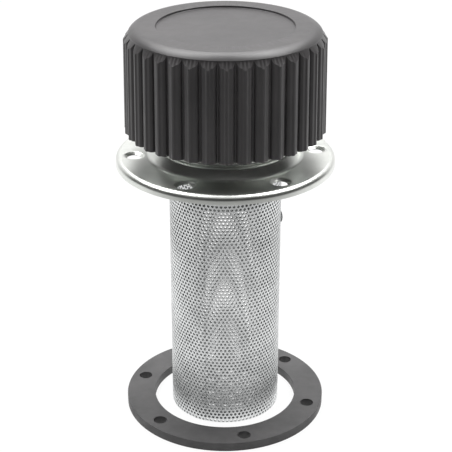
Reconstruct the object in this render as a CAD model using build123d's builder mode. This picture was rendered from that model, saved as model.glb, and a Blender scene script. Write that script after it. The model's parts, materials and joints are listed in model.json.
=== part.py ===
from build123d import *

# A hydraulic filler breather, in millimetres. A six-hole tank flange, pressed from sheet, carries a strainer
# basket below it. A ribbed bayonet cap with an air filter inside closes it from above. The loose tank gasket
# lies round the basket's foot. +Z is up, the basket's axis is the Z axis and its lower edge stands on Z = 0.
import os
from math import asin, cos, degrees, floor, pi, radians, sin

# Tank flange
bolt_ring_d = 73.0
bolt_count = 6
first_bolt_angle = 4.45
bolt_hole_d = 5.5
dimple_d = 7.8
dimple_cone = 100.0
flange_margin = 7.44  # from the bolt ring out to the edge
flange_sheet = 1.2
rim_drop = 3.6  # from the flat down to the rolled edge's lower lip
rim_roll_r = 2.2
dome_inset = 6.0  # from the bolt ring in to the dome's root
dome_lean = 2.5  # the dome's wall leans in by this much on its way up
dome_rise = 4.6
dome_root_r = 0.6
bend_r = 1.4
ledge_w = 2.0  # the dome's flat top, round the neck
neck_rise = 12.7  # from the flat to the top of the lip

# Bayonet
lug_count = 3
lug_reach = 2.0  # how far a lug hooks under the lip
lug_span = 26.0
notch_clearance = 0.4
lug_play = 1.4  # between a lug's tip and the neck's wall
notch_span_play = 8.0
turn_to_open = 60.0
lug_gap = 0.2
stop_gap = 1.0
stop_width = 1.2
stop_drop = 2.4
bayonet_sheet = 1.4
plate_clearance = 0.6

# Strainer basket
basket_d = 45.4
basket_wall_t = 0.8
basket_h = 115.0
collar_sheet = 1.0
collar_sleeve_h = 18.4
collar_play = 0.1
collar_bend_r = 1.6
weld_gap = 0.7
strainer_hole_d = 3.4
strainer_pitch = 11.9  # along the wall's circumference
strainer_row_pitch = 10.5
strainer_edge = 7.0
seam_angle = 248.0
seam_gap = 0.3
foot_sheet = 1.0
foot_turn_up = 5.0
foot_bend_r = 1.6
foot_hole_d = 2.6
foot_rings = 3
eye_z = 85.6
eye_length = 5.2
eye_width = 2.0
eye_bulge = 1.2
eye_strap = 0.6

# Loose tank gasket
gasket_edge_play = 0.81  # inside the flange's rolled edge
gasket_bore_play = 0.46  # inside the dome's root
gasket_t = 3.8
gasket_hole_d = 5.9
gasket_shift_x = -0.13
gasket_shift_y = -1.95
gasket_turn = -78.2

# Cap
cap_d = 80.0
cap_h = 41.9
cap_draft = 0.45
cap_wall = 2.5
cap_roof = 1.9
rib_count = 36
first_rib_angle = 270.0
flute_depth = 2.3
flute_r = 2.4
rib_edge_r = 0.5
roll_r = 5.5
roll_drop = 2.2
step_r = 2.5  # from the bottom diameter in to the top face's edge
step_h = 0.4
shoulder_h = 2.8
badge_d = 54.0
badge_depth = 0.9
boss_d = 18.0
spoke_count = 6
spoke_w = 2.0
spoke_h = 3.0

# Air filter and what clamps it, from the neck's lip upwards
cap_seal_t = 2.5
cap_seal_w = 4.0
base_sheet = 1.0
air_gap = 1.0  # between the base and the skirt, where the air goes up
base_turn_up = 4.0
base_bend_r = 1.6
air_hole_d = 7.0
air_hole_count = 6
felt_t = 2.0
felt_w = 5.0
disc_sheet = 0.8
disc_play = 0.3
disc_lip = 3.0
disc_bend_r = 1.2
paper_h = 24.0
paper_play = 0.4
pleat_count = 48
pleat_paper = 0.55
core_d = 40.8
core_sheet = 0.6
core_hole_d = 4.0
core_hole_count = 10
core_row_pitch = 7.0

# M6 stud through the middle of the cap
stud_d = 6.0
stud_clearance = 0.2
stud_tail = 1.5
head_flats = 10.0
head_h = 4.0
head_cover = 1.0
nut_h = 5.0
washer_d = 12.0
washer_t = 1.6
split_width = 1.2
spacer_d = 12.0
ring_section = 1.8

# How far a cutting shape runs past what it cuts
cut_past = 1.0

# Heights, worked out from the floor up
collar_rim_z = basket_h + weld_gap
ledge_under_z = collar_rim_z + collar_sheet
flat_z = ledge_under_z + flange_sheet - dome_rise
lip_z = flat_z + neck_rise
lip_under_z = lip_z - flange_sheet
base_z = lip_z + cap_seal_t
felt_z = base_z + base_sheet
lower_disc_z = felt_z + felt_t
paper_z = lower_disc_z + disc_sheet
upper_disc_z = paper_z + paper_h
boss_z = upper_disc_z + disc_sheet
head_z = boss_z + head_cover
roof_under_z = head_z + head_h + head_cover
badge_z = roof_under_z + cap_roof
cap_top_z = badge_z + badge_depth
cap_foot_z = cap_top_z - cap_h
bayonet_top_z = lip_under_z - lug_gap
bayonet_z = bayonet_top_z - bayonet_sheet
washer_z = bayonet_z - washer_t
spring_z = washer_z - washer_t
nut_z = spring_z - nut_h
stud_z = nut_z - stud_tail

# Radii that several pieces share
bolt_ring_r = bolt_ring_d / 2
flange_r = bolt_ring_r + flange_margin
dome_r = bolt_ring_r - dome_inset
ledge_r = dome_r - dome_lean
neck_r = ledge_r - ledge_w
neck_bore_r = neck_r - flange_sheet
lug_r = neck_bore_r - lug_play
filler_r = lug_r - lug_reach
gasket_r = flange_r - flange_sheet - gasket_edge_play
gasket_bore_r = dome_r - gasket_bore_play
basket_r = basket_d / 2
sleeve_r = basket_r - basket_wall_t
plate_r = min(filler_r, sleeve_r - collar_sheet) - plate_clearance
stud_hole_r = stud_d / 2 + stud_clearance
air_hole_circle_r = (spacer_d / 2 + plate_r) / 2
cap_r = cap_d / 2
skirt_r = cap_r - flute_depth - cap_wall
base_r = skirt_r - air_gap
disc_r = base_r - base_sheet - disc_play
paper_r = disc_r - disc_sheet - paper_play
paper_bore_r = core_d / 2 + paper_play

os.makedirs("parts", exist_ok=True)


def pressed_section(skin, bends, sheet):
    """Section of a pressed sheet: its skin line (radius, height), rounded at the bends, one sheet thick."""
    with BuildSketch(Plane.XZ) as section:
        with BuildLine():
            FilletPolyline(*skin, radius=bends)
            offset(amount=sheet, side=Side.LEFT)
        make_face()
    return section.sketch


def tube_section(inner_r, outer_r, low_z, high_z):
    """Section of a plain ring or tube."""
    with BuildSketch(Plane.XZ) as section:
        with Locations(((inner_r + outer_r) / 2, (low_z + high_z) / 2)):
            Rectangle(outer_r - inner_r, high_z - low_z)
    return section.sketch


def ring_sector(inner_r, outer_r, middle, span):
    """Flat piece of a ring, `span` degrees wide about the angle `middle`."""
    with BuildSketch() as sector:
        with BuildLine():
            outer = CenterArc((0, 0), outer_r, middle - span / 2, span)
            inner = CenterArc((0, 0), inner_r, middle - span / 2, span)
            Line(outer @ 0, inner @ 0)
            Line(outer @ 1, inner @ 1)
        make_face()
    return sector.sketch


def radial_places(radius, height, count, start):
    """Places round the Z axis whose own Z axis points outwards."""
    turns = [start + 360 * place / count for place in range(count)]
    return [Location((0, 0, height), (0, 0, turn)) * Location((radius, 0, 0), (0, 90, 0)) for turn in turns]


def save(piece, name):
    """Label a finished piece and write it."""
    piece.part.label = name
    export_step(piece.part, f"parts/{name}.step")


# ---- flange_plate: pressed flange, with its dome, neck, bayonet lip and countersunk holes
flange_skin = [
    (flange_r, flat_z - rim_drop),
    (flange_r, flat_z),
    (dome_r, flat_z),
    (ledge_r, flat_z + dome_rise),
    (neck_r, flat_z + dome_rise),
    (neck_r, lip_z),
    (filler_r, lip_z),
]
flange_bends = [rim_roll_r, dome_root_r, bend_r, dome_root_r, bend_r]
locked_angles = [90 + 360 * lug / lug_count for lug in range(lug_count)]
stop_angle = -lug_span / 2 - degrees(asin((stop_gap + stop_width) / lug_r))

with BuildPart() as flange_plate:
    revolve(pressed_section(flange_skin, flange_bends, flange_sheet), axis=Axis.Z)
    with Locations((0, 0, flat_z)):
        with PolarLocations(bolt_ring_r, bolt_count, start_angle=first_bolt_angle):
            CounterSinkHole(bolt_hole_d / 2, dimple_d / 2, rim_drop, dimple_cone)
    with BuildSketch(Plane.XY.offset(lip_under_z)):
        for locked in locked_angles:
            notch_span = lug_span + notch_span_play
            add(ring_sector(filler_r - cut_past, lug_r + notch_clearance, locked + turn_to_open, notch_span))
    extrude(amount=flange_sheet, mode=Mode.SUBTRACT)
    with BuildSketch(Plane.XY.offset(lip_under_z)):
        for locked in locked_angles:
            stop_span = degrees(stop_width / lug_r)
            add(ring_sector(filler_r, lug_r + notch_clearance, locked + stop_angle, stop_span))
    extrude(amount=-stop_drop)
save(flange_plate, "flange_plate")

# ---- basket_collar: drawn sleeve in the basket's top, its rim spot-welded under the dome's ledge
collar_rim_r = ledge_r - flange_sheet - collar_play
collar_skin = [
    (collar_rim_r, ledge_under_z),
    (sleeve_r - collar_sheet, ledge_under_z),
    (sleeve_r - collar_sheet, collar_rim_z - collar_sleeve_h),
]

with BuildPart() as basket_collar:
    revolve(pressed_section(collar_skin, [collar_bend_r], collar_sheet), axis=Axis.Z)
save(basket_collar, "basket_collar")

# ---- basket_wall: rolled perforated sheet with its seam and one lanced eye
hole_columns = floor(2 * pi * basket_r / strainer_pitch)
hole_rows = floor((basket_h - 2 * strainer_edge) / strainer_row_pitch) + 1
first_row_z = (basket_h - (hole_rows - 1) * strainer_row_pitch) / 2
strainer_places = []
for row in range(hole_rows):
    stagger = seam_angle + (row % 2 + 0.5) * 180 / hole_columns
    strainer_places += radial_places(basket_r, first_row_z + row * strainer_row_pitch, hole_columns, stagger)

with BuildPart() as basket_wall:
    revolve(tube_section(sleeve_r, basket_r, 0, basket_h), axis=Axis.Z)
    with Locations(*strainer_places):
        Cylinder(strainer_hole_d / 2, 4 * basket_wall_t, mode=Mode.SUBTRACT)
    with Locations(Location((0, 0, 0), (0, 0, seam_angle))):
        with Locations((basket_r, 0, basket_h / 2)):
            Box(4 * basket_wall_t, seam_gap, basket_h, mode=Mode.SUBTRACT)
    with Locations((basket_r, 0, eye_z)):
        Box(4 * basket_wall_t, eye_width, eye_length - 2 * eye_strap, mode=Mode.SUBTRACT)
    with BuildSketch(Plane.XZ) as strap:
        with BuildLine():
            bulge = ThreePointArc(
                (basket_r - eye_strap / 2, eye_z - eye_length / 2),
                (basket_r + eye_bulge - eye_strap / 2, eye_z),
                (basket_r - eye_strap / 2, eye_z + eye_length / 2),
            )
            offset(amount=eye_strap / 2, side=Side.BOTH)
        make_face()
    extrude(amount=eye_width / 2, both=True)
save(basket_wall, "basket_wall")

# ---- basket_foot: perforated disc, turned up inside the wall's lower end
foot_skin = [(0, 0), (sleeve_r, 0), (sleeve_r, foot_turn_up)]

with BuildPart() as basket_foot:
    revolve(pressed_section(foot_skin, [foot_bend_r], foot_sheet), axis=Axis.Z)
    foot_pitch = (sleeve_r - foot_bend_r) / (foot_rings + 0.5)
    Hole(foot_hole_d / 2)
    for ring in range(1, foot_rings + 1):
        with PolarLocations(ring * foot_pitch, 6 * ring):
            Hole(foot_hole_d / 2)
save(basket_foot, "basket_foot")

# ---- tank_gasket: flat rubber ring with plain holes, loose round the basket's foot
with BuildPart() as tank_gasket:
    with BuildSketch():
        with Locations((gasket_shift_x, gasket_shift_y)):
            Circle(gasket_r)
            Circle(gasket_bore_r, mode=Mode.SUBTRACT)
            with PolarLocations(bolt_ring_r, bolt_count, start_angle=gasket_turn):
                Circle(gasket_hole_d / 2, mode=Mode.SUBTRACT)
    extrude(amount=gasket_t)
save(tank_gasket, "tank_gasket")

# ---- cap_shell: moulded cap with a ribbed skirt, a rolled top edge and a shallow round recess
edge_r = cap_r - step_r
roll_centre_x = edge_r - (roll_r**2 - (roll_r - roll_drop) ** 2) ** 0.5
roll_half = degrees(asin((edge_r - roll_centre_x) / roll_r)) / 2
roll_mid = (
    roll_centre_x + roll_r * sin(radians(roll_half)),
    cap_top_z - roll_r + roll_r * cos(radians(roll_half)),
)
edge_z = cap_top_z - roll_drop
shoulder_z = edge_z - step_h - shoulder_h
rib_pitch = 360 / rib_count


def fluted_outline(crest_r, height):
    """The skirt's outline: round flutes cut between the ribs, the ribs' edges eased."""
    with BuildSketch(Plane.XY.offset(height)) as outline:
        Circle(crest_r)
        flute_centre_r = crest_r - flute_depth + flute_r
        with PolarLocations(flute_centre_r, rib_count, start_angle=first_rib_angle + rib_pitch / 2):
            Circle(flute_r, mode=Mode.SUBTRACT)
        fillet(outline.vertices(), rib_edge_r)
    return outline.sketch


with BuildPart() as cap_shell:
    loft([fluted_outline(cap_r, cap_foot_z), fluted_outline(cap_r - cap_draft, cap_top_z)], ruled=True)
    with BuildSketch(Plane.XZ):
        with BuildLine():
            Polyline(
                (0, cap_foot_z - cut_past),
                (cap_r + cut_past, cap_foot_z - cut_past),
                (cap_r + cut_past, shoulder_z),
                (cap_r - cap_draft, shoulder_z),
                (edge_r, edge_z - step_h),
                (edge_r, edge_z),
            )
            ThreePointArc((edge_r, edge_z), roll_mid, (roll_centre_x, cap_top_z))
            Polyline(
                (roll_centre_x, cap_top_z),
                (badge_d / 2, cap_top_z),
                (badge_d / 2, badge_z),
                (0, badge_z),
                (0, cap_foot_z - cut_past),
            )
        make_face()
    revolve(axis=Axis.Z, mode=Mode.INTERSECT)
    revolve(tube_section(0, skirt_r, cap_foot_z - cut_past, roof_under_z), axis=Axis.Z, mode=Mode.SUBTRACT)
    with BuildSketch(Plane.XY.offset(roof_under_z)):
        Circle(boss_d / 2)
    extrude(amount=boss_z - roof_under_z)
    with BuildSketch(Plane.XY.offset(roof_under_z)):
        with PolarLocations((boss_d / 2 + skirt_r) / 2, spoke_count):
            Rectangle(skirt_r - boss_d / 2 + cut_past, spoke_w)
    extrude(amount=-spoke_h)
    with BuildSketch(Plane.XY.offset(head_z)):
        RegularPolygon(head_flats / 2, 6, major_radius=False)
    extrude(amount=head_h, mode=Mode.SUBTRACT)
    with BuildSketch(Plane.XY.offset(boss_z)):
        Circle(stud_d / 2)
    extrude(amount=head_cover, mode=Mode.SUBTRACT)
save(cap_shell, "cap_shell")

# ---- centre_stud: hexagon-headed M6 stud moulded into the cap's boss
with BuildPart() as centre_stud:
    with BuildSketch(Plane.XY.offset(head_z)):
        RegularPolygon(head_flats / 2, 6, major_radius=False)
    extrude(amount=head_h)
    with BuildSketch(Plane.XY.offset(stud_z)):
        Circle(stud_d / 2)
    extrude(amount=head_z - stud_z)
    chamfer(centre_stud.edges().sort_by(Axis.Z)[0], stud_d / 10)
save(centre_stud, "centre_stud")

# ---- filter_paper: pleated ring of filter paper
pleat_pitch = 360 / pleat_count


def pleat_corners(outer_r, inner_r, shift):
    """Corners of the zigzag, out and in by turns."""
    corners = []
    for pleat in range(pleat_count):
        for corner_r, part_turn in ((outer_r, 0), (inner_r, 0.5)):
            turn = radians((pleat + part_turn) * pleat_pitch)
            corners.append(((corner_r + shift) * cos(turn), (corner_r + shift) * sin(turn)))
    return corners


paper_slope = pi * (paper_r + paper_bore_r) / 2 / pleat_count / (paper_r - paper_bore_r)
paper_shift = pleat_paper / sin(paper_slope)

with BuildPart() as filter_paper:
    with BuildSketch(Plane.XY.offset(paper_z)):
        Polygon(*pleat_corners(paper_r - paper_shift, paper_bore_r, paper_shift), align=None)
        Polygon(*pleat_corners(paper_r - paper_shift, paper_bore_r, 0), align=None, mode=Mode.SUBTRACT)
    extrude(amount=paper_h)
save(filter_paper, "filter_paper")

# ---- filter_core: perforated tube that holds the pleats open
core_rows = floor((paper_h - core_row_pitch) / core_row_pitch) + 1
first_core_z = paper_z + (paper_h - (core_rows - 1) * core_row_pitch) / 2
core_places = []
for row in range(core_rows):
    stagger = (row % 2) * 180 / core_hole_count
    core_places += radial_places(core_d / 2, first_core_z + row * core_row_pitch, core_hole_count, stagger)

with BuildPart() as filter_core:
    revolve(tube_section(core_d / 2 - core_sheet, core_d / 2, paper_z, upper_disc_z), axis=Axis.Z)
    with Locations(*core_places):
        Cylinder(core_hole_d / 2, 4 * core_sheet, mode=Mode.SUBTRACT)
save(filter_core, "filter_core")

# ---- filter_lower_disc and filter_upper_disc: pressed end discs, their lips over the pleats
lower_skin = [
    (core_d / 2 - core_sheet, lower_disc_z),
    (disc_r, lower_disc_z),
    (disc_r, lower_disc_z + disc_sheet + disc_lip),
]
upper_skin = [
    (disc_r, boss_z - disc_sheet - disc_lip),
    (disc_r, boss_z),
    (stud_hole_r, boss_z),
]

with BuildPart() as filter_lower_disc:
    revolve(pressed_section(lower_skin, [disc_bend_r], disc_sheet), axis=Axis.Z)
save(filter_lower_disc, "filter_lower_disc")

with BuildPart() as filter_upper_disc:
    revolve(pressed_section(upper_skin, [disc_bend_r], disc_sheet), axis=Axis.Z)
save(filter_upper_disc, "filter_upper_disc")

# ---- stud_ring: rubber ring under the upper disc, round the stud
with BuildPart() as stud_ring:
    ring_r = stud_d / 2 + ring_section / 2
    with BuildSketch(Plane.XZ):
        with Locations((ring_r, upper_disc_z - ring_section / 2)):
            Circle(ring_section / 2)
    revolve(axis=Axis.Z)
save(stud_ring, "stud_ring")

# ---- filter_felt: felt ring that seals the filter on the cap's base
with BuildPart() as filter_felt:
    felt_inner_r = core_d / 2 - core_sheet
    revolve(tube_section(felt_inner_r, felt_inner_r + felt_w, felt_z, lower_disc_z), axis=Axis.Z)
save(filter_felt, "filter_felt")

# ---- cap_base: pressed dish that clamps the filter into the cap, with the air holes inside the seal
base_skin = [
    (stud_hole_r, base_z),
    (base_r, base_z),
    (base_r, base_z + base_sheet + base_turn_up),
]

with BuildPart() as cap_base:
    revolve(pressed_section(base_skin, [base_bend_r], base_sheet), axis=Axis.Z)
    with Locations((0, 0, base_z + base_sheet)):
        with PolarLocations(air_hole_circle_r, air_hole_count):
            Hole(air_hole_d / 2)
save(cap_base, "cap_base")

# ---- cap_seal: flat rubber ring between the cap's base and the neck's lip
with BuildPart() as cap_seal:
    revolve(tube_section(neck_r - cap_seal_w, neck_r, lip_z, base_z), axis=Axis.Z)
save(cap_seal, "cap_seal")

# ---- spacer_tube: holds the bayonet plate below the base
with BuildPart() as spacer_tube:
    revolve(tube_section(stud_hole_r, spacer_d / 2, bayonet_top_z, base_z), axis=Axis.Z)
save(spacer_tube, "spacer_tube")

# ---- bayonet_plate: disc with lugs that turn in under the neck's lip
with BuildPart() as bayonet_plate:
    with BuildSketch(Plane.XY.offset(bayonet_z)):
        Circle(plate_r)
        for locked in locked_angles:
            add(ring_sector(plate_r - cut_past, lug_r, locked, lug_span))
        Circle(stud_hole_r, mode=Mode.SUBTRACT)
        with PolarLocations(air_hole_circle_r, air_hole_count):
            Circle(air_hole_d / 2, mode=Mode.SUBTRACT)
    extrude(amount=bayonet_sheet)
save(bayonet_plate, "bayonet_plate")

# ---- stud_washer, spring_washer and stud_nut: what holds the stack on the stud
with BuildPart() as stud_washer:
    revolve(tube_section(stud_hole_r, washer_d / 2, washer_z, bayonet_z), axis=Axis.Z)
save(stud_washer, "stud_washer")

with BuildPart() as spring_washer:
    revolve(tube_section(stud_hole_r, head_flats / 2, spring_z, washer_z), axis=Axis.Z)
    with Locations((head_flats / 2, 0, (spring_z + washer_z) / 2)):
        Box(head_flats, split_width, 2 * washer_t, rotation=(25, 0, 0), mode=Mode.SUBTRACT)
save(spring_washer, "spring_washer")

with BuildPart() as stud_nut:
    with BuildSketch(Plane.XY.offset(nut_z)):
        RegularPolygon(head_flats / 2, 6, major_radius=False)
        Circle(stud_d / 2, mode=Mode.SUBTRACT)
    extrude(amount=nut_h)
save(stud_nut, "stud_nut")
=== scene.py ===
# %% [markdown]
# # Hydraulic filler breather
# A pressed six-hole flange sits on an oil tank. A strainer basket of perforated sheet hangs below it, and a
# ribbed plastic cap with an air filter closes it from above. A flat rubber gasket lies round the basket's
# foot. The solids come in first as a fixed frame, and every piece below is made in that frame, in metres.

# %% Load the frame
import json
from math import asin, atan2, cos, degrees, pi, radians, sin, sqrt, tan

import bmesh
import bpy
from mathutils import Matrix, Vector


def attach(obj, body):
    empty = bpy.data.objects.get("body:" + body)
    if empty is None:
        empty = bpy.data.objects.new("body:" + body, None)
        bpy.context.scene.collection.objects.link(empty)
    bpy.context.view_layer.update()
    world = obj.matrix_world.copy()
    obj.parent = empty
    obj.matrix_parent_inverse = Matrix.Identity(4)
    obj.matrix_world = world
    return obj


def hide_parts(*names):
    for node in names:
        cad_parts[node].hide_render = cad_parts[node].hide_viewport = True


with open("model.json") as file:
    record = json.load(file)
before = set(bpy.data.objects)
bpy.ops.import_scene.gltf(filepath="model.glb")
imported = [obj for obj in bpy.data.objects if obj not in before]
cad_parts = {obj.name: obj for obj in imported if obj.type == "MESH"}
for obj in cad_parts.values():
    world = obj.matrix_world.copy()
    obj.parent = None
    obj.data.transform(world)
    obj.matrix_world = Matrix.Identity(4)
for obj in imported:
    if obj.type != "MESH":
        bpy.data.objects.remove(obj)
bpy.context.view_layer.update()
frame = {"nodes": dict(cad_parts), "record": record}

MM = 0.001

# %% [markdown]
# ## Camera
# The camera stands half a metre in front and looks down by 25 degrees. A long lens keeps the basket's sides
# nearly parallel. It comes first, so that everything else is judged through it.

# %% Camera
scene = bpy.context.scene
scene.view_settings.view_transform = "Standard"

camera_data = bpy.data.cameras.new("camera")
camera_data.lens = 108.15
camera_data.sensor_width = 36
camera = bpy.data.objects.new("camera", camera_data)
camera.location = (-0.0060, -0.5049, 0.3175)
camera.rotation_euler = (radians(64.866), radians(-0.058), radians(-0.687))
scene.collection.objects.link(camera)
scene.camera = camera
print("camera looks down by", round(90 - degrees(camera.rotation_euler.x), 2), "degrees")

# %% [markdown]
# ## Light and floor
# Bright metal and black plastic are both seen by what they mirror. The room is white behind and above the
# object and nearly dark in front of it, so that there is both light and dark to mirror. Three soft boxes hang
# high, two at the sides and one behind. The floor and the room show white to the camera by their own colour,
# so no lamp has to be turned up to bleach them.


# %% A white room
def seen_directly(nodes, links):
    """A factor that is 1 for rays from the camera and from gloss or glass."""
    path = nodes.new("ShaderNodeLightPath")
    total = path.outputs["Is Camera Ray"]
    for name in ("Is Glossy Ray", "Is Transmission Ray"):
        either = nodes.new("ShaderNodeMath")
        either.operation = "MAXIMUM"
        links.new(total, either.inputs[0])
        links.new(path.outputs[name], either.inputs[1])
        total = either.outputs[0]
    return total


def fade(nodes, links, source, start, stop, low, high):
    """A smooth change from low to high while source goes from start to stop."""
    node = nodes.new("ShaderNodeMapRange")
    node.interpolation_type = "SMOOTHSTEP"
    for name, value in (("From Min", start), ("From Max", stop), ("To Min", low), ("To Max", high)):
        node.inputs[name].default_value = value
    links.new(source, node.inputs["Value"])
    return node.outputs["Result"]


def combine(nodes, links, operation, first, second):
    """One number from two, by a Math node."""
    node = nodes.new("ShaderNodeMath")
    node.operation = operation
    for place, value in enumerate((first, second)):
        if isinstance(value, float):
            node.inputs[place].default_value = value
        else:
            links.new(value, node.inputs[place])
    return node.outputs[0]


world = bpy.data.worlds.new("white_room")
world.use_nodes = True
scene.world = world
nodes, links = world.node_tree.nodes, world.node_tree.links
room = nodes["Background"]
room.inputs["Color"].default_value = (1, 1, 1, 1)
direction = nodes.new("ShaderNodeTexCoord")
split = nodes.new("ShaderNodeSeparateXYZ")
links.new(direction.outputs["Generated"], split.inputs[0])
behind = fade(nodes, links, split.outputs["Y"], 0.3, 0.75, 0.03, 1.0)
overhead = fade(nodes, links, split.outputs["Z"], 0.50, 0.97, 0.0, 0.85)
studio = combine(nodes, links, "MAXIMUM", behind, overhead)
camera_rays = nodes.new("ShaderNodeLightPath").outputs["Is Camera Ray"]
mirrored = combine(nodes, links, "MAXIMUM", studio, camera_rays)
soft = combine(nodes, links, "MULTIPLY", studio, 0.6)
pick = nodes.new("ShaderNodeMix")
links.new(seen_directly(nodes, links), pick.inputs["Factor"])
links.new(soft, pick.inputs["A"])
links.new(mirrored, pick.inputs["B"])
links.new(pick.outputs["Result"], room.inputs["Strength"])
print("the room's light has", len(nodes), "nodes")

# %% [markdown]
# To the camera the floor is white, with a trace of the object's shadow on it. In the metal's reflection it
# glows close to the object, at its sides and behind it, and fades towards the front.

# %% The floor
floor_mesh = bmesh.new()
bmesh.ops.create_grid(floor_mesh, x_segments=1, y_segments=1, size=3)
bmesh.ops.translate(floor_mesh, verts=floor_mesh.verts, vec=(0, 0, -0.02 * MM))
floor_data = bpy.data.meshes.new("floor")
floor_mesh.to_mesh(floor_data)
floor_mesh.free()
floor = bpy.data.objects.new("floor", floor_data)
scene.collection.objects.link(floor)

paint = bpy.data.materials.new("floor_white")
paint.use_nodes = True
nodes, links = paint.node_tree.nodes, paint.node_tree.links
nodes.remove(nodes["Principled BSDF"])
matte = nodes.new("ShaderNodeBsdfDiffuse")
matte.inputs["Color"].default_value = (0.8, 0.8, 0.8, 1)
place = nodes.new("ShaderNodeTexCoord")
split = nodes.new("ShaderNodeSeparateXYZ")
links.new(place.outputs["Object"], split.inputs[0])
reach = nodes.new("ShaderNodeVectorMath")
reach.operation = "LENGTH"
links.new(place.outputs["Object"], reach.inputs[0])
close = fade(nodes, links, reach.outputs["Value"], 0.22, 0.32, 1.0, 0.1)
aside = fade(nodes, links, split.outputs["Y"], -0.28, -0.16, 0.12, 0.75)
near = combine(nodes, links, "MAXIMUM", close, aside)
beside = fade(nodes, links, split.outputs["Y"], -0.12, 0.05, 0.0, 0.45)
camera_rays = nodes.new("ShaderNodeLightPath").outputs["Is Camera Ray"]
others = combine(nodes, links, "SUBTRACT", 1.0, camera_rays)
around = combine(nodes, links, "MULTIPLY", combine(nodes, links, "ADD", near, beside), others)
glow = nodes.new("ShaderNodeEmission")
links.new(combine(nodes, links, "MAXIMUM", around, camera_rays), glow.inputs["Strength"])
veil = nodes.new("ShaderNodeMixShader")
veil.inputs["Fac"].default_value = 0.93
links.new(matte.outputs[0], veil.inputs[1])
links.new(glow.outputs[0], veil.inputs[2])
choose = nodes.new("ShaderNodeMixShader")
links.new(seen_directly(nodes, links), choose.inputs["Fac"])
links.new(matte.outputs[0], choose.inputs[1])
links.new(veil.outputs[0], choose.inputs[2])
links.new(choose.outputs[0], nodes["Material Output"].inputs["Surface"])
floor_data.materials.append(paint)
print("the floor's paint has", len(nodes), "nodes")


# %% Soft boxes
def soft_box(name, place, size, power):
    """An area light that looks at the middle of the object."""
    data = bpy.data.lights.new(name, "AREA")
    data.shape = "RECTANGLE"
    data.size, data.size_y = size
    data.energy = power
    lamp = bpy.data.objects.new(name, data)
    lamp.location = place
    aim = Vector((0, 0, 0.1)) - lamp.location
    lamp.rotation_euler = aim.to_track_quat("-Z", "Y").to_euler()
    scene.collection.objects.link(lamp)
    return lamp


soft_box("soft_box_left", (-0.42, 0.1, 0.95), (0.6, 0.6), 9)
soft_box("soft_box_right", (0.42, 0.1, 0.95), (0.6, 0.6), 9)
soft_box("soft_box_top", (0, 0.45, 0.9), (0.9, 0.5), 7)
print("three soft boxes")

# %% [markdown]
# ## Finishes
# Each finish is a small tree of nodes on Object coordinates, so it sits still on the piece. Zinc is metal
# with cloudy plating and faint rolling streaks. The cap is moulded plastic with a fine satin grain. The
# gasket is cut rubber sheet, a little mottled.


# %% Helpers for finishes
def blank(name):
    """A new material, and its tree's nodes, links and main shader."""
    material = bpy.data.materials.new(name)
    material.use_nodes = True
    tree = material.node_tree
    return material, tree.nodes, tree.links, tree.nodes["Principled BSDF"]


def cloud(nodes, links, scale, stretch=(1, 1, 1), detail=4):
    """Noise on the piece's own coordinates; stretch pulls it into streaks."""
    place = nodes.new("ShaderNodeTexCoord")
    turn = nodes.new("ShaderNodeMapping")
    turn.inputs["Scale"].default_value = stretch
    noise = nodes.new("ShaderNodeTexNoise")
    noise.inputs["Scale"].default_value = scale
    noise.inputs["Detail"].default_value = detail
    noise.inputs["Roughness"].default_value = 0.55
    links.new(place.outputs["Object"], turn.inputs["Vector"])
    links.new(turn.outputs["Vector"], noise.inputs["Vector"])
    return noise.outputs["Fac"]


def spread(nodes, links, source, low, high, start=0.35, stop=0.65):
    """Stretches a noise value to run from low to high."""
    node = nodes.new("ShaderNodeMapRange")
    node.inputs["From Min"].default_value = start
    node.inputs["From Max"].default_value = stop
    node.inputs["To Min"].default_value = low
    node.inputs["To Max"].default_value = high
    links.new(source, node.inputs["Value"])
    return node.outputs["Result"]


def tint(nodes, links, source, first, second):
    """A colour between two, by a value from 0 to 1."""
    mix = nodes.new("ShaderNodeMix")
    mix.data_type = "RGBA"
    mix.inputs["A"].default_value = (*first, 1)
    mix.inputs["B"].default_value = (*second, 1)
    links.new(source, mix.inputs["Factor"])
    return mix.outputs["Result"]


def relief(nodes, links, shader, source, depth, strength=1.0):
    """Bump of that depth in metres, chained after any that is already there."""
    bump = nodes.new("ShaderNodeBump")
    bump.inputs["Distance"].default_value = depth
    bump.inputs["Strength"].default_value = strength
    links.new(source, bump.inputs["Height"])
    if shader.inputs["Normal"].links:
        links.new(shader.inputs["Normal"].links[0].from_socket, bump.inputs["Normal"])
    links.new(bump.outputs["Normal"], shader.inputs["Normal"])


# %% Zinc
def zinc(name, light, dark, shine, dull):
    """Zinc plating: cloudy colour, streaky gloss and a very shallow orange-peel."""
    material, nodes, links, shader = blank(name)
    shader.inputs["Metallic"].default_value = 1.0
    cloudy = spread(nodes, links, cloud(nodes, links, 60), 0, 1)
    links.new(tint(nodes, links, cloudy, dark, light), shader.inputs["Base Color"])
    streaks = cloud(nodes, links, 40, (1, 12, 12), 3)
    links.new(spread(nodes, links, streaks, shine, dull, 0.2, 0.8), shader.inputs["Roughness"])
    relief(nodes, links, shader, cloud(nodes, links, 300, detail=2), 0.01 * MM, 0.2)
    return material


zinc_flange = zinc("zinc_flange", (0.74, 0.75, 0.72), (0.63, 0.65, 0.62), 0.28, 0.38)
zinc_basket = zinc("zinc_basket", (0.78, 0.79, 0.79), (0.62, 0.63, 0.63), 0.42, 0.55)
zinc_inner = zinc("zinc_inner", (0.66, 0.67, 0.67), (0.56, 0.57, 0.57), 0.28, 0.38)

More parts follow.
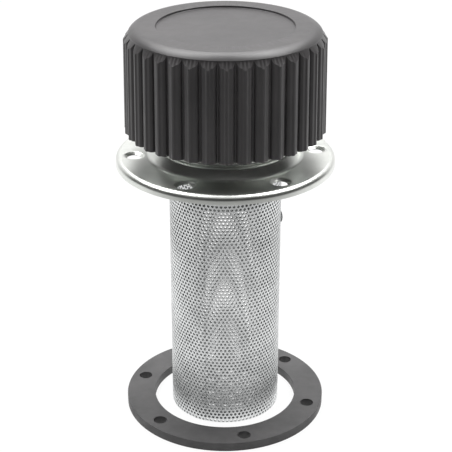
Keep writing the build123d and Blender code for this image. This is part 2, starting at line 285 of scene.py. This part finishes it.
# %% Plastic and rubber
cap_plastic, nodes, links, shader = blank("cap_plastic")
smear = spread(nodes, links, cloud(nodes, links, 45, detail=6), 0, 1, 0.4, 0.7)
black = tint(nodes, links, smear, (0.033, 0.031, 0.032), (0.043, 0.040, 0.041))
links.new(black, shader.inputs["Base Color"])
links.new(spread(nodes, links, cloud(nodes, links, 110, detail=5), 0.34, 0.44), shader.inputs["Roughness"])
relief(nodes, links, shader, cloud(nodes, links, 1500, detail=2), 0.03 * MM, 0.3)

gasket_rubber, nodes, links, shader = blank("gasket_rubber")
mottle = spread(nodes, links, cloud(nodes, links, 70, detail=6), 0, 1, 0.4, 0.7)
grey = tint(nodes, links, mottle, (0.045, 0.044, 0.045), (0.065, 0.063, 0.064))
links.new(grey, shader.inputs["Base Color"])
links.new(spread(nodes, links, cloud(nodes, links, 160, detail=5), 0.5, 0.66), shader.inputs["Roughness"])
relief(nodes, links, shader, cloud(nodes, links, 1100, detail=3), 0.04 * MM, 0.4)

seal_rubber, nodes, links, shader = blank("seal_rubber")
shade = spread(nodes, links, cloud(nodes, links, 150), 0, 1)
dark_rubber = tint(nodes, links, shade, (0.022, 0.022, 0.022), (0.036, 0.036, 0.036))
links.new(dark_rubber, shader.inputs["Base Color"])
shader.inputs["Roughness"].default_value = 0.6

# %% Paper and felt
filter_paper, nodes, links, shader = blank("filter_paper")
fibres = spread(nodes, links, cloud(nodes, links, 700, (1, 1, 0.3), 6), 0, 1)
links.new(tint(nodes, links, fibres, (0.76, 0.66, 0.46), (0.86, 0.79, 0.62)), shader.inputs["Base Color"])
shader.inputs["Roughness"].default_value = 0.85
relief(nodes, links, shader, fibres, 0.05 * MM, 0.5)

felt, nodes, links, shader = blank("felt")
wool = spread(nodes, links, cloud(nodes, links, 900, detail=8), 0, 1)
links.new(tint(nodes, links, wool, (0.46, 0.44, 0.41), (0.62, 0.60, 0.57)), shader.inputs["Base Color"])
shader.inputs["Roughness"].default_value = 0.95
relief(nodes, links, shader, wool, 0.12 * MM, 0.8)

finishes = {
    "zinc_flange": zinc_flange,
    "zinc_basket": zinc_basket,
    "zinc_inner": zinc_inner,
    "cap_plastic": cap_plastic,
    "gasket_rubber": gasket_rubber,
    "seal_rubber": seal_rubber,
    "filter_paper": filter_paper,
    "felt": felt,
}
print(len(finishes), "finishes")

# %% [markdown]
# ## Pieces that keep their solids
# The filter, the seals and the fasteners sit inside the cap, and their solids already have the right shape.
# They only get their finish.

# %% Finish the solids
for part in frame["record"]["subparts"]:
    node = frame["nodes"][part["node"]]
    finish = finishes[part["material_slot"]]
    if not node.material_slots:
        node.data.materials.append(finish)
    for place in node.material_slots:
        place.material = finish
print(len(frame["nodes"]), "solids have a finish")


# %% [markdown]
# ## Tools for sheet and moulded pieces
# Round parts start as a few corners of a section, which a vertex bevel rounds and a spin turns into a body of
# revolution. Holes are cut with a Boolean. A Weighted Normal modifier keeps flat faces flat in the mirror.


# %% Shaping tools
def section_line(bm, corners, bends):
    """A wire through (radius, height) corners in mm. bends gives each inner corner's radius."""
    points = [Vector((radius * MM, 0, height * MM)) for radius, height in corners]
    verts = [bm.verts.new(point) for point in points]
    for first, second in zip(verts, verts[1:]):
        bm.edges.new((first, second))
    for before, point, after, vert, bend in zip(points, points[1:], points[2:], verts[1:], bends):
        half = (before - point).angle(after - point) / 2
        bmesh.ops.bevel(
            bm, geom=[vert], offset=bend * MM / tan(half), offset_type="OFFSET", affect="VERTICES",
            segments=8, profile=0.5, material=-1
        )
    return list(bm.verts), list(bm.edges)


def turn(bm, geometry, steps):
    """Spins a section once round the upright axis and closes it."""
    bmesh.ops.spin(
        bm, geom=geometry, cent=(0, 0, 0), axis=(0, 0, 1), angle=2 * pi, steps=steps, use_merge=True,
        use_duplicate=False
    )
    bmesh.ops.remove_doubles(bm, verts=bm.verts, dist=0.001 * MM)
    bmesh.ops.recalc_face_normals(bm, faces=bm.faces)


def as_object(bm, name):
    """Puts a bmesh into a new object at the origin."""
    data = bpy.data.meshes.new(name)
    bm.to_mesh(data)
    bm.free()
    piece = bpy.data.objects.new(name, data)
    scene.collection.objects.link(piece)
    return piece


def cut(piece, *cutters):
    """Takes the cutters away from a piece, and keeps the result as its mesh."""
    for cutter in cutters:
        step = piece.modifiers.new("cut", "BOOLEAN")
        step.operation = "DIFFERENCE"
        step.solver = "EXACT"
        step.object = cutter
    bpy.context.view_layer.update()
    shaped = piece.evaluated_get(bpy.context.evaluated_depsgraph_get())
    data = bpy.data.meshes.new_from_object(shaped)
    piece.modifiers.clear()
    old, piece.data = piece.data, data
    data.name = piece.name
    bpy.data.meshes.remove(old)
    for cutter in cutters:
        bpy.data.meshes.remove(cutter.data)


def dress(piece, body, finish, stands_for=(), sharp=40, weighted=True):
    """Smooth shading with sharp edges, the finish, and the place in the frame."""
    piece.data.materials.clear()
    piece.data.materials.append(finishes[finish])
    piece.data.shade_smooth()
    piece.data.set_sharp_from_angle(angle=radians(sharp))
    if weighted:
        step = piece.modifiers.new("flat_faces", "WEIGHTED_NORMAL")
        step.keep_sharp = True
    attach(piece, body)
    if stands_for:
        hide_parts(*stands_for)
    print(piece.name, len(piece.data.polygons), "faces")
    return piece


# %% [markdown]
# ## Flange
# The real flange is pressed from 1.2 mm sheet: a rolled edge, a flat with six countersunk holes, a short cone
# and a neck with a lip for the bayonet. The section is drawn once, turned, and given its thickness inwards.

# %% Flange
flange_sheet = 1.2
flange_r, cone_root_r, cone_rim_r, neck_r, lip_r = 43.94, 30.5, 28.0, 26.0, 21.4
rolled_z, flange_z, ledge_z, lip_z = 109.7, 113.3, 117.9, 126.0
flange_corners = [
    (flange_r, rolled_z), (flange_r, flange_z), (cone_root_r, flange_z), (cone_rim_r, ledge_z),
    (neck_r, ledge_z), (neck_r, lip_z), (lip_r, lip_z)
]
flange_bends = [2.2, 1.8, 1.4, 0.6, 1.4]
flange_mesh = bmesh.new()
verts, edges = section_line(flange_mesh, flange_corners, flange_bends)
turn(flange_mesh, verts + edges, 288)
top = max(flange_mesh.faces, key=lambda face: face.calc_area())
if top.normal.z < 0:
    bmesh.ops.reverse_faces(flange_mesh, faces=flange_mesh.faces)
bmesh.ops.solidify(flange_mesh, geom=flange_mesh.faces, thickness=flange_sheet * MM)
flange = as_object(flange_mesh, "pressed_flange")
print("flange has", len(flange.data.polygons), "faces before cutting")


# %% Cutters for the flange
def lathe(bm, corners, bends, centre, steps=64):
    """A closed solid turned about an upright line through centre, on which both end corners lie."""
    fresh = bmesh.new()
    verts, edges = section_line(fresh, corners, bends)
    turn(fresh, verts + edges, steps)
    bmesh.ops.translate(fresh, verts=fresh.verts, vec=centre)
    data = bpy.data.meshes.new("lathe")
    fresh.to_mesh(data)
    fresh.free()
    bm.from_mesh(data)
    bpy.data.meshes.remove(data)


bolt_ring_r, first_bolt, bolt_hole_r, dimple_r = 36.5, 4.45, 2.75, 4.8
dimple_corners = [
    (0, -5), (bolt_hole_r, -5), (bolt_hole_r, -1.05), (3.95, -0.1), (dimple_r, 0.03), (dimple_r, 3), (0, 3)
]
dimple_bends = [0, 0.3, 1.1, 0, 0]
dimples = bmesh.new()
for place in range(6):
    angle = radians(first_bolt + 60 * place)
    middle = (bolt_ring_r * MM * cos(angle), bolt_ring_r * MM * sin(angle), flange_z * MM)
    lathe(dimples, dimple_corners, dimple_bends, middle)
print(len(dimples.faces), "faces on the dimple cutters")


def sector(bm, inner, outer, low, high, middle, span, steps=24):
    """A solid piece of a ring, its sizes in mm and its middle and span in degrees."""
    start = radians(middle - span / 2)
    ring = [(inner, low), (outer, low), (outer, high), (inner, high)]
    verts = [
        bm.verts.new((radius * MM * cos(start), radius * MM * sin(start), height * MM))
        for radius, height in ring
    ]
    face = bm.faces.new(verts)
    bmesh.ops.spin(
        bm, geom=[face], cent=(0, 0, 0), axis=(0, 0, 1), angle=radians(span), steps=steps, use_merge=False,
        use_duplicate=False
    )


lug_middles = [90 + 120 * lug for lug in range(3)]
turn_to_open, notch_span, notch_r = 60, 34, 23.8
notches = bmesh.new()
for middle in lug_middles:
    sector(notches, 20.4, notch_r, 124.0, 127.0, middle + turn_to_open, notch_span)
bmesh.ops.recalc_face_normals(notches, faces=notches.faces)

cut(flange, as_object(dimples, "dimple_cutters"), as_object(notches, "notch_cutters"))
print("flange has", len(flange.data.polygons), "faces after cutting")

# %% Stops under the lip
lug_span, lug_r, stop_gap, stop_width = 26, 23.4, 1.0, 1.2
stop_turn = -lug_span / 2 - degrees(asin((stop_gap + stop_width) / lug_r))
stops = bmesh.new()
for middle in lug_middles:
    sector(stops, lip_r, notch_r, 122.4, 124.9, middle + stop_turn, degrees(stop_width / lug_r), 4)
bmesh.ops.recalc_face_normals(stops, faces=stops.faces)
stops.from_mesh(flange.data)
stops.to_mesh(flange.data)
stops.free()
dress(flange, "tank_side", "zinc_flange", ["flange_plate"], sharp=32)

# %% [markdown]
# ## Basket wall
# The strainer is a sheet with staggered holes of about 1.2 mm, 84 round and 78 high, rolled up and lapped at a
# seam. That is far too many holes to cut one by one, so one repeat of the pattern is made from five faces on
# the cylinder, copied round by a spin and upwards by doubling. Bisecting trims it to height.

# %% One repeat of the holes
wall_r, holes_round = 22.7, 84
hole_pitch = 2 * pi * wall_r / holes_round
row_rise = hole_pitch * sin(pi / 3)
hole_r = 0.58
seam_turn = radians(248)


def repeat_faces(bm, rim):
    """Three webs and two gussets between four neighbouring holes. rim(across, up) places a point."""
    centres = {
        "a": (0, 0), "b": (hole_pitch, 0), "c": (hole_pitch / 2, row_rise), "d": (1.5 * hole_pitch, row_rise)
    }
    made = {}

    def corner(hole, step):
        angle = radians(15 + 30 * (step % 12))
        if (hole, step % 12) not in made:
            across, up = centres[hole]
            made[hole, step % 12] = bm.verts.new(rim(across + hole_r * cos(angle), up + hole_r * sin(angle)))
        return made[hole, step % 12]

    outlines = ["a11 a0 b5 b6", "a1 a2 c7 c8", "b3 b4 c9 c10", "a0 b5 b4 c9 c8 a1", "b2 d7 d6 c11 c10 b3"]
    for outline in outlines:
        bm.faces.new([corner(word[0], int(word[1:])) for word in outline.split()])


def on_wall(across, up):
    """A point on the basket's outer skin, from the seam round and from the floor up, in mm."""
    angle = seam_turn + across / wall_r
    return (wall_r * MM * cos(angle), wall_r * MM * sin(angle), up * MM)


wall = bmesh.new()
repeat_faces(wall, on_wall)
bmesh.ops.spin(
    wall, geom=wall.verts[:] + wall.edges[:] + wall.faces[:], cent=(0, 0, 0), axis=(0, 0, 1), angle=2 * pi,
    steps=holes_round, use_merge=False, use_duplicate=True
)
bmesh.ops.remove_doubles(wall, verts=wall.verts, dist=0.001 * MM)
print("one row:", len(wall.faces), "faces")

# %% Rows up the wall
rows = 80  # a little past the wall's height, for the trim
done = 1
while done < rows:
    fresh = min(done, rows - done)
    top_of_copy = (fresh - 0.4) * row_rise * MM + 0.2 * MM
    lower = [face for face in wall.faces if face.calc_center_median().z < top_of_copy]
    copied = bmesh.ops.duplicate(wall, geom=lower)["geom"]
    verts = [item for item in copied if isinstance(item, bmesh.types.BMVert)]
    stagger = Matrix.Rotation(done * pi / holes_round, 3, "Z")
    bmesh.ops.rotate(wall, verts=verts, cent=(0, 0, 0), matrix=stagger)
    bmesh.ops.translate(wall, verts=verts, vec=(0, 0, done * row_rise * MM))
    done += fresh
bmesh.ops.remove_doubles(wall, verts=wall.verts, dist=0.001 * MM)
bmesh.ops.translate(wall, verts=wall.verts, vec=(0, 0, -row_rise / 2 * MM))
print(done, "rows,", len(wall.faces), "faces")


# %% Trim, seam and eye
def slice_wall(bm, faces, point, normal, clear_outer=False, clear_inner=False):
    """Bisects only those faces, and returns the edges of the cut."""
    edges = {edge for face in faces for edge in face.edges}
    verts = {vert for face in faces for vert in face.verts}
    result = bmesh.ops.bisect_plane(
        bm, geom=list(verts) + list(edges) + list(faces), dist=0.0001 * MM, plane_co=point, plane_no=normal,
        clear_outer=clear_outer, clear_inner=clear_inner
    )
    return [item for item in result["geom_cut"] if isinstance(item, bmesh.types.BMEdge)]


basket_h = 115
slice_wall(wall, wall.faces[:], (0, 0, 0), (0, 0, 1), clear_inner=True)
slice_wall(wall, wall.faces[:], (0, 0, basket_h * MM), (0, 0, 1), clear_outer=True)


def past_seam(point):
    """Degrees from the seam, from -180 to 180, going towards the front."""
    angle = degrees(atan2(point.y, point.x) - seam_turn)
    return (angle + 180) % 360 - 180


near_seam = [face for face in wall.faces if abs(past_seam(face.calc_center_median())) < 12]
edge_of_sheet = slice_wall(wall, near_seam, (0, 0, 0), (-sin(seam_turn), cos(seam_turn), 0))
bmesh.ops.split_edges(wall, edges=edge_of_sheet)

lap_span, ramp_start, ramp_span, lap_lift = 9, 17, 7, 0.25
overlap = [face for face in wall.faces if -lap_span < past_seam(face.calc_center_median()) < 0]
under = bmesh.ops.duplicate(wall, geom=overlap)["geom"]
under_verts = {item for item in under if isinstance(item, bmesh.types.BMVert)}
outer_faces = [
    face for face in wall.faces
    if -20 < past_seam(face.calc_center_median()) < 0 and not under_verts.intersection(face.verts)
]
for vert in {vert for face in outer_faces for vert in face.verts}:
    share = min(max((past_seam(vert.co) + ramp_start) / ramp_span, 0), 1)
    lift = lap_lift * MM * share * share * (3 - 2 * share)
    vert.co.xy = vert.co.xy.normalized() * (vert.co.xy.length + lift)

eye_low, eye_high, eye_half = 83.6, 87.6, 1.0
for point, normal in (
    ((0, 0, eye_low * MM), (0, 0, 1)), ((0, 0, eye_high * MM), (0, 0, 1)),
    ((0, eye_half * MM, 0), (0, 1, 0)), ((0, -eye_half * MM, 0), (0, 1, 0)),
):
    near = [
        face for face in wall.faces
        if face.calc_center_median().x > 0.9 * wall_r * MM and 80 < face.calc_center_median().z / MM < 91
    ]
    slice_wall(wall, near, point, normal)
window = [
    face for face in wall.faces
    if face.calc_center_median().x > 0 and abs(face.calc_center_median().y) < eye_half * MM
    and eye_low < face.calc_center_median().z / MM < eye_high
]
bmesh.ops.delete(wall, geom=window, context="FACES")
bmesh.ops.remove_doubles(wall, verts=wall.verts, dist=0.001 * MM)
print("wall skin:", len(wall.faces), "faces")

# %% [markdown]
# With its thickness the whole wall has more than 350,000 triangles, so it is parted about halfway up into two
# pieces that meet there.

# %% Wall thickness, in two halves
bmesh.ops.recalc_face_normals(wall, faces=wall.faces)
probe = max(wall.faces, key=lambda face: face.calc_center_median().x)
if probe.normal.x < 0:
    bmesh.ops.reverse_faces(wall, faces=wall.faces)
split_z = 39 * row_rise * MM
wall_sheet = 0.8
upper_wall = wall.copy()
low_faces = [face for face in upper_wall.faces if face.calc_center_median().z < split_z]
bmesh.ops.delete(upper_wall, geom=low_faces, context="FACES")
high_faces = [face for face in wall.faces if face.calc_center_median().z >= split_z]
bmesh.ops.delete(wall, geom=high_faces, context="FACES")
for half, name in ((wall, "strainer_lower"), (upper_wall, "strainer_upper")):
    bmesh.ops.solidify(half, geom=half.faces, thickness=wall_sheet * MM)
    piece = as_object(half, name)
    dress(piece, "tank_side", "zinc_basket", ["basket_wall"], sharp=45, weighted=False)

# %% [markdown]
# ## Eye
# One short strap is lanced out of the wall in its upper part. It is tied to the wall on three sides and open
# on the fourth. A grid is bowed outwards, most along the open side, laid round the wall and given its
# thickness.

# %% Lanced eye
strap_z, strap_reach, strap_width, strap_bow, strap_sheet = 85.6, 2.7, 3.4, 1.1, 0.45
strap = bmesh.new()
bmesh.ops.create_grid(strap, x_segments=10, y_segments=24, size=0.5)
for vert in strap.verts:
    across, along = vert.co.x + 0.5, vert.co.y * 2
    rise = 1 - along * along if abs(along) < 1 else 0
    bow = strap_bow * rise**0.7 * (1 - across * across)
    turned = (across * strap_width - 1.6) / wall_r
    vert.co = Vector(((wall_r - 0.35 + bow) * MM, 0, (strap_z + along * strap_reach) * MM))
    vert.co.rotate(Matrix.Rotation(turned, 3, "Z"))
bmesh.ops.solidify(strap, geom=strap.faces, thickness=strap_sheet * MM)
bmesh.ops.recalc_face_normals(strap, faces=strap.faces)
dress(as_object(strap, "lanced_eye"), "tank_side", "zinc_basket", sharp=50)

# %% [markdown]
# ## Gasket
# The loose gasket is cut from flat rubber sheet, with plain holes and crisp edges. A turned ring and six
# cutting cylinders make it, and a narrow bevel takes the razor edge off.

# %% Gasket
gasket_place = (-0.13 * MM, -1.95 * MM, 0)
gasket_r, gasket_bore_r, gasket_hole_r, gasket_t = 41.93, 30.04, 2.7, 3.8
gasket_turn = -78.2
gasket_mesh = bmesh.new()
gasket_ring = [(gasket_bore_r, 0), (gasket_r, 0), (gasket_r, gasket_t), (gasket_bore_r, gasket_t)]
verts = [gasket_mesh.verts.new((radius * MM, 0, height * MM)) for radius, height in gasket_ring]
edges = [gasket_mesh.edges.new(pair) for pair in zip(verts, verts[1:] + verts[:1])]
turn(gasket_mesh, verts + edges, 240)
gasket = as_object(gasket_mesh, "rubber_gasket")
punches = bmesh.new()
for place in range(6):
    angle = radians(gasket_turn + 60 * place)
    middle = (bolt_ring_r * MM * cos(angle), bolt_ring_r * MM * sin(angle), 0)
    lathe(punches, [(0, -2), (gasket_hole_r, -2), (gasket_hole_r, 6), (0, 6)], [0, 0], middle, 48)
cut(gasket, as_object(punches, "punches"))
gasket.data.transform(Matrix.Translation(gasket_place))
soften = gasket.modifiers.new("edge", "BEVEL")
soften.width = 0.1 * MM
soften.segments = 2
soften.limit_method = "ANGLE"
soften.angle_limit = radians(50)
soften.use_clamp_overlap = True
dress(gasket, "tank_side", "gasket_rubber", ["tank_gasket"], sharp=60)

# %% [markdown]
# ## Cap
# The cap is moulded in one piece: 36 ribs with narrow grooves between them and a small ledge on each flank, a
# short cone on which the grooves run out in scallops, a small step, a rolled edge and a shallow recess. The
# outline from one rib's crest to the next is repeated round the axis to a closed loop, and that loop is
# extruded up and in, step by step. Where it meets the cone, each point is raised to the cone's own height,
# which draws the scallops.

# %% One groove
cap_foot, cap_top = 124.0, 165.9
crest_foot, crest_top = 40.0, 39.55
ribs = 36
rib_turn = 2 * pi / ribs
half_rib = [  # radius in mm, degrees from the groove's middle, how far the corner is eased in mm
    (37.6, 0.5, 0.2), (38.6, 0.9, 0.25), (39.3, 2.0, 0.25), (39.55, 3.6, 0.3), (crest_foot, 4.35, 0.2),
    (crest_foot, 5, 0)
]

cap_mesh = bmesh.new()
outline = [(radius, -angle, ease) for radius, angle, ease in reversed(half_rib)] + half_rib
verts = [
    cap_mesh.verts.new((radius * MM * cos(radians(angle)), radius * MM * sin(radians(angle)), cap_foot * MM))
    for radius, angle, ease in outline
]
edges = [cap_mesh.edges.new(pair) for pair in zip(verts, verts[1:])]
for vert, (radius, angle, ease) in list(zip(verts, outline))[1:-1]:
    bmesh.ops.bevel(
        cap_mesh, geom=[vert], offset=ease * MM, offset_type="OFFSET", affect="VERTICES", segments=4,
        profile=0.5, material=-1
    )
crest_in_front = Matrix.Rotation(radians(270) + rib_turn / 2, 3, "Z")
bmesh.ops.rotate(cap_mesh, verts=cap_mesh.verts, cent=(0, 0, 0), matrix=crest_in_front)
bmesh.ops.spin(
    cap_mesh, geom=cap_mesh.verts[:] + cap_mesh.edges[:], cent=(0, 0, 0), axis=(0, 0, 1), angle=2 * pi,
    steps=ribs, use_merge=False, use_duplicate=True
)
bmesh.ops.remove_doubles(cap_mesh, verts=cap_mesh.verts, dist=0.001 * MM)
foot_loop = cap_mesh.edges[:]
print("outline:", len(cap_mesh.verts), "points,", len(foot_loop), "edges")


# %% Extrude the cap
def extrude_loop(bm, loop, place):
    """Extrudes a loop of edges and puts each new point where place says."""
    made = bmesh.ops.extrude_edge_only(bm, edges=loop)["geom"]
    verts = {item for item in made if isinstance(item, bmesh.types.BMVert)}
    for vert in verts:
        vert.co = place(vert.co)
    return [item for item in made if isinstance(item, bmesh.types.BMEdge) and verts.issuperset(item.verts)]


def to_ring(radius, height):
    """Moves a point straight to that radius, at that height, in mm."""
    def place(point):
        flat = point.xy.normalized() * radius * MM
        return Vector((flat.x, flat.y, height * MM))
    return place


cone_foot, cone_top, edge_r = 160.5, 163.3, 37.5


def to_cone(point):
    """The skirt's draft, then up to where the shoulder's cone has this point's radius."""
    flat = point.xy * crest_top / crest_foot
    radius = max(flat.length / MM, edge_r + 0.03)
    height = cone_foot + (crest_top - radius) / (crest_top - edge_r) * (cone_top - cone_foot)
    flat = flat.normalized() * radius * MM
    return Vector((flat.x, flat.y, height * MM))


scallops = extrude_loop(cap_mesh, foot_loop, to_cone)
loop = extrude_loop(cap_mesh, scallops, to_ring(edge_r, cone_top))
loop = extrude_loop(cap_mesh, loop, to_ring(edge_r, cone_top + 0.4))
roll_r, roll_rise, roll_steps = 5.5, 3.3, 10
roll_centre = edge_r - sqrt(roll_r**2 - roll_rise**2)
first = asin((edge_r - roll_centre) / roll_r)
for step in range(1, roll_steps + 1):
    swing = first * (1 - step / roll_steps)
    ring = to_ring(roll_centre + roll_r * sin(swing), cap_top - roll_r + roll_r * cos(swing))
    loop = extrude_loop(cap_mesh, loop, ring)
recess_top = extrude_loop(cap_mesh, loop, to_ring(27.0, cap_top))
recess_foot = extrude_loop(cap_mesh, recess_top, to_ring(26.9, cap_top - 0.9))
bmesh.ops.holes_fill(cap_mesh, edges=recess_foot, sides=0)

# %% The cap's inside
skirt_bore_r, boss_r, stud_bore_r, head_r = 35.2, 9.0, 3.05, 5.8
roof_under_z, boss_z, head_z, head_top = 163.1, 157.1, 158.0, 162.1
inside = [
    (skirt_bore_r, roof_under_z), (boss_r, roof_under_z), (boss_r, boss_z), (stud_bore_r, boss_z),
    (stud_bore_r, head_z), (head_r, head_z), (head_r, head_top)
]
inner_foot = extrude_loop(cap_mesh, foot_loop, to_ring(skirt_bore_r, cap_foot))
loop = inner_foot
for radius, height in inside:
    loop = extrude_loop(cap_mesh, loop, to_ring(radius, height))
bmesh.ops.holes_fill(cap_mesh, edges=loop, sides=0)
bmesh.ops.recalc_face_normals(cap_mesh, faces=cap_mesh.faces)
print("cap:", len(cap_mesh.faces), "faces, volume", round(cap_mesh.calc_volume() / MM**3), "mm3")

# %% Soft edges
soft_edges = [(scallops, 0.22), (foot_loop, 0.3), (inner_foot, 0.3), (recess_top, 0.2), (recess_foot, 0.25)]
for loop, width in soft_edges:
    loop = [edge for edge in loop if edge.is_valid]
    bmesh.ops.bevel(
        cap_mesh, geom=loop, offset=width * MM, offset_type="OFFSET", affect="EDGES", segments=3, profile=0.5,
        material=-1, clamp_overlap=True
    )
cap = as_object(cap_mesh, "moulded_cap")


# %% [markdown]
# ## Spokes
# Six spokes stiffen the roof between the boss and the skirt. Each is a plain bar that runs a little into both
# and into the roof. They are a piece of their own, which turns with the cap.

# %% Spokes under the roof
spoke_length, spoke_width, spoke_height = 26.6, 2, 3.4
spoke_mesh = bmesh.new()
for turned in range(0, 360, 60):
    bar = bmesh.ops.create_cube(spoke_mesh, size=1)["verts"]
    bmesh.ops.scale(spoke_mesh, verts=bar, vec=(spoke_length * MM, spoke_width * MM, spoke_height * MM))
    bmesh.ops.translate(spoke_mesh, verts=bar, vec=(22.1 * MM, 0, 161.8 * MM))
    spoke_turn = Matrix.Rotation(radians(turned), 3, "Z")
    bmesh.ops.rotate(spoke_mesh, verts=bar, cent=(0, 0, 0), matrix=spoke_turn)
dress(as_object(spoke_mesh, "roof_spokes"), "cap", "cap_plastic", sharp=30)

# %% Dress the cap
dress(cap, "cap", "cap_plastic", ["cap_shell"], sharp=38)
